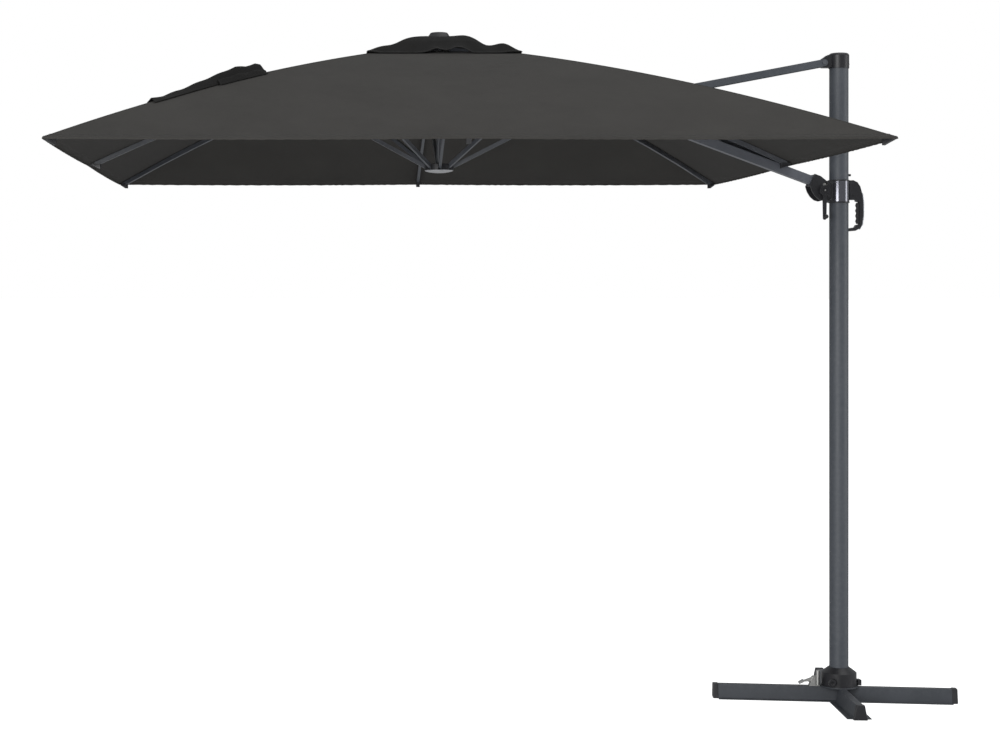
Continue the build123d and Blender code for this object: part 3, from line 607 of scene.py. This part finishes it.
# screws, rivets, flutes and small trims

trims = {"bracketScrew": {"Radius": 0.0042, "Height": 0.0026, "Recess": 0.0012, "Sides": 22},
         "rivet": {"Radius": 0.0034, "Height": 0.0018, "Recess": 0.0002, "Sides": 16}}


def trim(name, spots, kind, material, body):
    values = dict(trims[kind], Material=coats[material])
    return placed(linked(name, screwMesh(name, spots, values)), body)


collarLow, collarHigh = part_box("slider_collar")
bracketLow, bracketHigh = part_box("slider_bracket")
screwHeights = [collarLow.z + 0.011, collarHigh.z - 0.009]
trim("bracket_screws", [((-0.0405, y, z), (0, math.copysign(1, y), 0)) for z in screwHeights
                        for y in (-0.0342, 0.0342)], "bracketScrew", "darkScrew", "slider")
handleLow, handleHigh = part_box("handle_grip")
trim("grip_screws", [((0.058, y, z), (0, math.copysign(1, y), 0)) for z in (handleHigh.z - 0.03, handleHigh.z - 0.065)
                     for y in (handleLow.y, handleHigh.y)], "rivet", "blackPlastic", "slider")
windLow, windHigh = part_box("winder_housing")
trim("housing_screws", [((x, y, z), (0, math.copysign(1, y), 0)) for x, z in ((-0.056, 2.153), (-0.095, 2.157),
                        (-0.058, 2.208)) for y in (windLow.y, windHigh.y)], "rivet", "darkScrew", "boom")
capLow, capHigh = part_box("mast_cap")
trim("cap_screws", [((0.043 * math.cos(a), 0.043 * math.sin(a), capLow.z + 0.016), (math.cos(a), math.sin(a), 0))
                    for a in (-2.6, -0.5, 0.7, 2.4)], "rivet", "darkScrew", "mast")
runnerLow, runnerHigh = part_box("runner_cap")
trim("runner_screws", [((hub.x + 0.03 * math.cos(a), 0.03 * math.sin(a), runnerLow.z + 0.0032), (0, 0, -1))
                       for a in (0.4, 2.5, 4.6)], "rivet", "zincPlate", "runner")


def lathed(name, outline, steps=48):
    # a turned shape about Z from (radius, height) pairs, closed at both ends
    work = bmesh.new()
    rings = []
    for radius, height in outline:
        if radius < 1e-6:
            rings.append([work.verts.new((0, 0, height))])
        else:
            rings.append([work.verts.new((radius * math.cos(2 * math.pi * i / steps),
                                          radius * math.sin(2 * math.pi * i / steps), height))
                          for i in range(steps)])
    for low, high in zip(rings, rings[1:]):
        for i in range(steps):
            j = (i + 1) % steps
            corners = [low[i % len(low)], low[j % len(low)], high[j % len(high)], high[i % len(high)]]
            corners = [v for n, v in enumerate(corners) if v not in corners[:n]]
            if len(corners) > 2:
                work.faces.new(corners)
    bmesh.ops.recalc_face_normals(work, faces=work.faces)
    mesh = bpy.data.meshes.new(name)
    work.to_mesh(mesh)
    work.free()
    smoothed(mesh, 32)
    return mesh


crankBoss = {"rings": [(0, 0), (0.0215, 0), (0.0225, 0.001), (0.0225, 0.003), (0.0213, 0.0042), (0.0186, 0.0044),
                       (0.0178, 0.0036), (0.016, 0.0036), (0.0152, 0.0046), (0.0112, 0.005), (0.0104, 0.0034),
                       (0.0078, 0.0034), (0.007, 0.0052), (0.0, 0.0054)],
             "centre": [(0, 0.0045), (0.0033, 0.0045), (0.0033, 0.0062), (0.0026, 0.0069), (0, 0.007)]}
crankLow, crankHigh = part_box("crank_arm")
winderX, winderZ = -0.077, 2.176
toFront = Matrix.Translation((winderX, crankLow.y + 0.022, winderZ)) @ Matrix.Rotation(math.pi / 2, 4, "X")
bossMesh = lathed("crank_boss", crankBoss["rings"])
bossMesh.transform(toFront)
bossMesh.materials.append(coats["blackPlastic"])
boss = placed(linked("crank_boss", bossMesh), "crank")
centreMesh = lathed("crank_boss_screw", crankBoss["centre"], 24)
centreMesh.transform(toFront)
centreMesh.materials.append(coats["zincPlate"])
placed(linked("crank_boss_screw", centreMesh), "crank")

flutes = {"knob": {"Count": 16, "Ring": 0.0083, "Thickness": 0.0011, "Length": 0.02},
          "bolt": {"Count": 22, "Ring": 0.0148, "Thickness": 0.0011, "Length": 0.0135}}
knobLow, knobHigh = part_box("crank_knob")
knobMesh = grown("knob_flutes", meshFrom("seed", [(0, 0, 0)], []), fluteTree,
                 dict(flutes["knob"], Material=coats["gripRubber"]))
knobMesh.transform(Matrix.Translation(((knobLow.x + knobHigh.x) / 2, (knobLow.y + knobHigh.y) / 2 + 0.0015,
                                       (knobLow.z + knobHigh.z) / 2)) @ Matrix.Rotation(math.pi / 2, 4, "X"))
placed(linked("knob_flutes", knobMesh), "crank_knob")
boltLow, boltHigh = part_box("lock_bolt")
boltMesh = grown("bolt_flutes", meshFrom("seed", [(0, 0, 0)], []), fluteTree,
                 dict(flutes["bolt"], Material=coats["blackPlastic"]))
boltMesh.transform(Matrix.Translation(((boltLow.x + boltHigh.x) / 2, (boltLow.y + boltHigh.y) / 2,
                                       (boltLow.z + boltHigh.z) / 2)) @ Matrix.Rotation(math.pi / 2, 4, "X"))
placed(linked("bolt_flutes", boltMesh), "base")
print("trims ready")


# canopy cloth: one continuous sheet, cut where the frame folds it

canopy = {"half": 1.5, "crown": 2.8, "drop": 0.51, "bow": 0.05, "hole": 0.245, "thickness": 0.0013,
          "sag": 0.0035, "hemWidth": 0.026, "hemRaise": 0.0008, "hemFall": 0.006, "rowStep": 0.0125,
          "fan": 40, "flatZone": 0.012, "railZone": 0.072, "folded": 0.075, "foldedRails": 0.145}
gore = math.tan(math.radians(22.5))
creaseSeed = np.random.default_rng(11)
creases = []
for count in range(34):
    angle = creaseSeed.uniform(0, 2 * math.pi)
    reach = creaseSeed.uniform(0.42, 1.25)
    lean = angle + creaseSeed.uniform(-0.9, 0.9)
    creases.append((reach * math.cos(angle), reach * math.sin(angle), lean, creaseSeed.uniform(0.06, 0.26),
                    creaseSeed.uniform(0.006, 0.014), creaseSeed.uniform(-0.0013, 0.0013)))
creases += [(0.16, -0.62, 0.32, 0.09, 0.007, 0.0022), (0.22, -0.56, 0.28, 0.1, 0.007, -0.002),
            (0.13, -0.7, 0.25, 0.07, 0.008, 0.0018), (-0.04, -0.95, 1.35, 0.16, 0.009, 0.0014)]


def creaseLift(x, y):
    lift = np.zeros_like(x)
    for cx, cy, lean, length, width, height in creases:
        along = (x - cx) * math.cos(lean) + (y - cy) * math.sin(lean)
        across = -(x - cx) * math.sin(lean) + (y - cy) * math.cos(lean)
        lift += height * np.exp(-(along / length) ** 2 - (across / width) ** 2)
    return lift


def shareBetween(a, b, flat):
    return np.clip((np.abs(b) - flat) / np.maximum(a - flat, 1e-6), 0, 1)


def roofHeight(a):
    share = a / canopy["half"]
    return canopy["crown"] - canopy["drop"] * share + 4 * canopy["bow"] * share * (1 - share)


def canopyHeight(a, b, x, y, flat):
    share = a / canopy["half"]
    between = shareBetween(a, b, flat)
    slack = 4 * between * (1 - between)
    ripple = 0.0009 * np.sin(b * 150 + 2 * np.sin(b * 31)) * np.clip((share - 0.9) / 0.1, 0, 1)
    return roofHeight(a) - slack * canopy["sag"] * share ** 1.3 + np.minimum(slack * 3, 1) * (
        creaseLift(x, y) + ripple)


vent = {"half": 0.32, "top": 2.833, "drop": 0.097, "bulge": 0.018, "clear": 0.0045, "thickness": 0.0014,
        "start": 0.024, "rowStep": 0.007, "fan": 18, "hemWidth": 0.012,
        "flaps": [{"x": 0.268, "y": -0.2, "wide": 0.036, "deep": 0.08, "lift": 0.016},
                  {"x": 0.19, "y": -0.17, "wide": 0.044, "deep": 0.1, "lift": -0.024},
                  {"x": 0.285, "y": 0.04, "wide": 0.05, "deep": 0.1, "lift": 0.012},
                  {"x": 0.1, "y": -0.1, "wide": 0.04, "deep": 0.07, "lift": 0.005},
                  {"x": -0.205, "y": -0.2, "wide": 0.05, "deep": 0.1, "lift": -0.014},
                  {"x": -0.27, "y": 0.05, "wide": 0.04, "deep": 0.1, "lift": 0.008},
                  {"x": -0.034, "y": -0.32, "wide": 0.036, "deep": 0.06, "lift": 0.013},
                  {"x": 0.066, "y": -0.32, "wide": 0.036, "deep": 0.065, "lift": 0.017},
                  {"x": 0.016, "y": -0.325, "wide": 0.1, "deep": 0.05, "lift": 0.015},
                  {"x": -0.08, "y": 0.32, "wide": 0.04, "deep": 0.06, "lift": 0.014},
                  {"x": 0.12, "y": 0.32, "wide": 0.03, "deep": 0.05, "lift": 0.011}]}


def ventHeight(a, b, x, y, flat):
    share = np.clip(a / vent["half"], 0, 1)
    height = vent["top"] - vent["drop"] * share ** 1.15 + vent["bulge"] * np.sin(math.pi * share) ** 0.9
    frontBack = np.clip((np.abs(y) - 0.2) / 0.1, 0, 1) * np.clip(1.4 - np.abs(x) / 0.3, 0, 1)
    height = height - 0.014 * frontBack
    for flap in vent["flaps"]:
        height = height + flap["lift"] * np.exp(-((x - flap["x"]) / flap["wide"]) ** 2
                                                - ((y - flap["y"]) / flap["deep"]) ** 2)
    turn = np.arctan2(y, x)
    height = height + share ** 2 * (0.0022 * np.sin(13 * turn + 0.7) + 0.0013 * np.sin(29 * turn))
    return np.maximum(height, roofHeight(a) + vent["clear"])


def rowsOf(low, high, step):
    return np.linspace(low, high, max(2, int(round((high - low) / step)) + 1))


def midColumns(a, half, flat, fan):
    out = np.linspace(0, 1, fan + 1)[1:]
    side = np.concatenate([np.linspace(0, flat, 4 if flat < 0.03 else 7), flat + out * (a * gore - flat)])
    return np.concatenate([-side[:0:-1], side])


def cornerColumns(a, half, flat, fan):
    ridge = np.array([0.009, 0.0072, 0.003, 0.0])
    out = np.linspace(0, 1, fan + 1)
    return np.concatenate([a * gore + out * (a - 0.0125 - a * gore), a - ridge])


def clothPiece(name, panelTurn, part, spec, heightAt, material, cut=None):
    # part 0 is a panel's middle, 1 and -1 its outer thirds up to the ridges
    half = spec["half"]
    hem = spec["hemWidth"]
    rows = list(rowsOf(spec.get("hole", spec.get("start")), half - hem - 0.002, spec["rowStep"]))
    rows += [half - hem, half - hem + 0.001, half - hem / 2, half - 0.002, half]
    if cut:
        rows = sorted(rows + [value for slit in cut for value in slit[:2]])
    fall = spec.get("hemFall", 0.0)
    drops = [0.0] * len(rows)
    if fall:
        rows += [half + 0.0014, half + 0.0022, half + 0.0026]
        drops += [0.0012, fall * 0.5, fall]
    turn = math.radians(panelTurn)
    out = np.array((math.cos(turn), math.sin(turn)))
    level = np.array((-math.sin(turn), math.cos(turn)))
    flat = canopy["railZone"] if panelTurn == 0 and spec is canopy else canopy["flatZone"]
    grid = []
    for a, drop in zip(rows, drops):
        held = min(a, half)
        if part == 0:
            b = midColumns(a, half, flat, spec["fan"])
        else:
            b = part * cornerColumns(a, half, flat, spec["fan"])
        x, y = out[0] * a + level[0] * b, out[1] * a + level[1] * b
        z = heightAt(np.full_like(b, held), b * held / a, x, y, flat)
        inHem = (half - hem + 0.0005) < a <= half
        z = z + (spec.get("hemRaise", 0.0006) if inHem else 0.0) - drop
        if part and a <= half:
            seam = np.abs(b) > a - 0.0075
            z = z + np.where(seam, 0.0008, 0.0)
        grid.append(np.stack([x + hub.x, y, z, np.full_like(b, a), b], axis=1))
    grid = np.array(grid)
    count, wide = grid.shape[:2]
    faces = []
    for i in range(count - 1):
        for j in range(wide - 1):
            centre = grid[i:i + 2, j:j + 2].reshape(-1, 5).mean(axis=0)
            if cut and any(low < centre[3] < high and abs(centre[4]) < reach for low, high, reach in cut):
                continue
            first = i * wide + j
            faces.append((first, first + wide, first + wide + 1, first + 1))
    if part < 0:
        faces = [tuple(reversed(face)) for face in faces]
    points = grid.reshape(-1, 5)
    mesh = meshFrom(name, points[:, :3], faces)
    uv = mesh.uv_layers.new(name="laidFlat")
    for loop in mesh.loops:
        uv.data[loop.index].uv = (points[loop.vertex_index, 3], points[loop.vertex_index, 4])
    work = bmesh.new()
    work.from_mesh(mesh)
    bmesh.ops.delete(work, geom=[v for v in work.verts if not v.link_faces], context="VERTS")
    upward = sum(face.normal.z for face in work.faces)
    if upward < 0:
        bmesh.ops.reverse_faces(work, faces=work.faces)
    area = sum(face.calc_area() for face in work.faces)
    work.to_mesh(mesh)
    work.free()
    mesh.materials.append(material)
    piece = linked(name, mesh)
    thick = piece.modifiers.new("thick", "SOLIDIFY")
    thick.thickness = spec["thickness"]
    thick.offset = -1.0
    thick.use_rim = True
    settled(piece)
    smoothed(piece.data, 50)
    return piece, area, grid


def foldAlong(piece, panelTurn, part, spec, heightAt):
    # works out this stretch's ridge and cross directions along its own rib, then only gives the piece its own mesh;
    # nothing is gathered
    turn = math.radians(panelTurn)
    out = Vector((math.cos(turn), math.sin(turn), 0))
    level = Vector((-math.sin(turn), math.cos(turn), 0))
    if part == 0:
        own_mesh(piece)
        return

    def spot(a, b):
        top = float(roofHeight(np.array(a))) if spec is canopy else spec["top"] - spec["drop"] * (a / spec["half"])
        return hub + out * a + level * b + Vector((0, 0, top))

    low, high = spec.get("hole", spec.get("start")), spec["half"]
    ridge = (spot(high, part * high) - spot(low, part * low)).normalized()
    across = spot(high, part * high * gore) - spot(high, part * high)
    across = (across - ridge * across.dot(ridge)).normalized()
    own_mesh(piece)


stitching = {"canopy": {"Spacing": 0.0068, "Length": 0.0044, "Thickness": 0.00045},
             "vent": {"Spacing": 0.006, "Length": 0.004, "Thickness": 0.0004}}


def stitchLines(grid, part, spec, cut):
    # rows just inside the hem and, on the outer thirds, two beside the ridge
    half, hem = spec["half"], spec["hemWidth"]
    lines = []
    for inset in (0.004, hem - 0.004):
        index = int(np.argmin(np.abs(grid[:, 0, 3] - (half - inset))))
        target = half - inset
        line = grid[index][:, :3].copy()
        shift = target - grid[index, 0, 3]
        nextRow = grid[index + 1 if shift > 0 else index - 1]
        span = nextRow[0, 3] - grid[index, 0, 3]
        share = shift / span if abs(span) > 1e-9 else 0.0
        line = line + (nextRow[:, :3] - grid[index][:, :3]) * share
        line[:, 2] += 0.0006
        lines.append(line)
    if part:
        inside = grid[:, 0, 3] <= half
        for column in (-2, -4):
            line = grid[inside][:, column, :3].copy()
            line[:, 2] += 0.0005
            lines.append(line)
    return lines


strutSlit = [(0.762, 0.898, 0.0345), (0.245, 0.3, 0.0296)]
clothPieces = []
# the last entry holds the cloth's own colour for the canopy and painted shade for the vent
for spec, label, heightAt, dyeAndPaintedShade in ((canopy, "canopy", canopyHeight, clothDye), (vent, "vent", ventHeight, ventPaintedShade)):
    nodeName = "canopy" if spec is canopy else "vent_canopy"
    for panelTurn, midName in midNames.items():
        for part in (0, 1, -1):
            spoke = midName if part == 0 else cornerNames[(panelTurn + 45 * part) % 360]
            name = f"{label}_{spoke}" if part == 0 else f"{label}_{spoke}_{'left' if part > 0 else 'right'}"
            cut = strutSlit if (panelTurn == 0 and part == 0 and spec is canopy) else None
            piece, area, grid = clothPiece(name, panelTurn, part, spec, heightAt, dyeAndPaintedShade, cut)
            placed(piece, "rib_" + spoke, [nodeName])
            foldAlong(piece, panelTurn, part, spec, heightAt)
            long = (spec["half"] - spec.get("hole", spec.get("start"))) * (1.06 if part == 0 else 1.5)
            broad = 2 * spec["half"] * gore if part == 0 else spec["half"] * (1 - gore)
            broad = max(broad, area / long)
            clothPieces.append(piece)
            sewn = grown(name + "_stitches", pathMesh("seed", stitchLines(grid, part, spec, cut)), stitchTree,
                         dict(stitching[label], Material=coats["thread"]))
            threads = placed(linked(name + "_stitches", sewn), "rib_" + spoke)
            foldAlong(threads, panelTurn, part, spec, heightAt)
print("cloth pieces:", len(clothPieces))


# tie strap, bunched on edge along the near outer ridge

strap = {"width": 0.052, "thickness": 0.0022,
         "stand": [(1.045, 0.006), (1.06, 0.027), (1.09, 0.038), (1.14, 0.034), (1.195, 0.042), (1.28, 0.031),
                   (1.37, 0.02), (1.47, 0.009), (1.56, 0.003), (1.62, 0.007)]}


def strapStand(r):
    return float(np.interp(r, *zip(*strap["stand"])))


def strapMesh(name, low, high, share, lead, width, waves):
    # a band folded over the ridge like a low tent, its two edges resting on the cloth
    along = np.linspace(low, high, 110)
    across = np.linspace(-1, 1, 19)
    turn = math.radians(spokes["outer_front"])
    out = np.array((math.cos(turn), math.sin(turn)))
    level = np.array((-math.sin(turn), math.cos(turn)))
    points = []
    for r in along:
        stand = strapStand(r) * share
        spread = width / 2 * (1 - 0.45 * min(1.0, stand / 0.04))
        for w in across:
            x, y = out * r + level * (w * spread + lead)
            ground = float(roofHeight(np.array(max(abs(x), abs(y))))) + 0.0032
            fold = 0.0014 * math.sin(waves * r + 4 * w) * (1 - abs(w))
            points.append((x + hub.x, y, ground + (stand + 0.002) * (1 - abs(w) ** 1.25) + fold))
    faces = []
    for i in range(len(along) - 1):
        for j in range(len(across) - 1):
            first = i * len(across) + j
            faces.append((first, first + len(across), first + len(across) + 1, first + 1))
    mesh = meshFrom(name, points, faces)
    uv = mesh.uv_layers.new(name="laidFlat")
    for loop in mesh.loops:
        row, column = divmod(loop.vertex_index, len(across))
        uv.data[loop.index].uv = (along[row], across[column] * width / 2)
    if sum(face.normal.z for face in mesh.polygons) < 0:
        mesh.flip_normals()
    area = sum(face.area for face in mesh.polygons)
    mesh.materials.append(webbing)
    piece = linked(name, mesh)
    thick = piece.modifiers.new("thick", "SOLIDIFY")
    thick.thickness = strap["thickness"]
    thick.offset = 1.0
    settled(piece)
    smoothed(piece.data, 50)
    return piece, area


strapPiece, strapArea = strapMesh("tie_strap_band", 1.045, 1.62, 1.0, 0.0, strap["width"], 55)
placed(strapPiece, "rib_outer_front", ["tie_strap"])
foldPiece, foldArea = strapMesh("tie_strap_fold", 1.05, 1.3, 0.45, 0.017, 0.03, 80)
placed(foldPiece, "rib_outer_front", ["tie_strap"])
print("tie strap ready", round(strapArea, 4), round(foldArea, 4))


# slit binding at the strut

slit = {"Width": 0.012, "Height": 0.003, "Corner": 0.0012}
slitLow, slitHigh, slitSide = strutSlit[0]
corners = [(slitLow, -slitSide), (slitHigh, -slitSide), (slitHigh, slitSide), (slitLow, slitSide), (slitLow, -slitSide)]
ring = []
for (a0, b0), (a1, b1) in zip(corners, corners[1:]):
    for step in range(14):
        a, b = a0 + (a1 - a0) * step / 14, b0 + (b1 - b0) * step / 14
        ring.append((hub.x + a, b, float(roofHeight(np.array(a))) - 0.0002))
ring.append(ring[0])
binding = grown("slit_binding", pathMesh("seed", [ring]), tapeTree, dict(slit, Material=coats["thread"]))
smoothed(binding, 40)
bindingPiece = placed(linked("slit_binding", binding), "rib_mast_side")
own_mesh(bindingPiece)
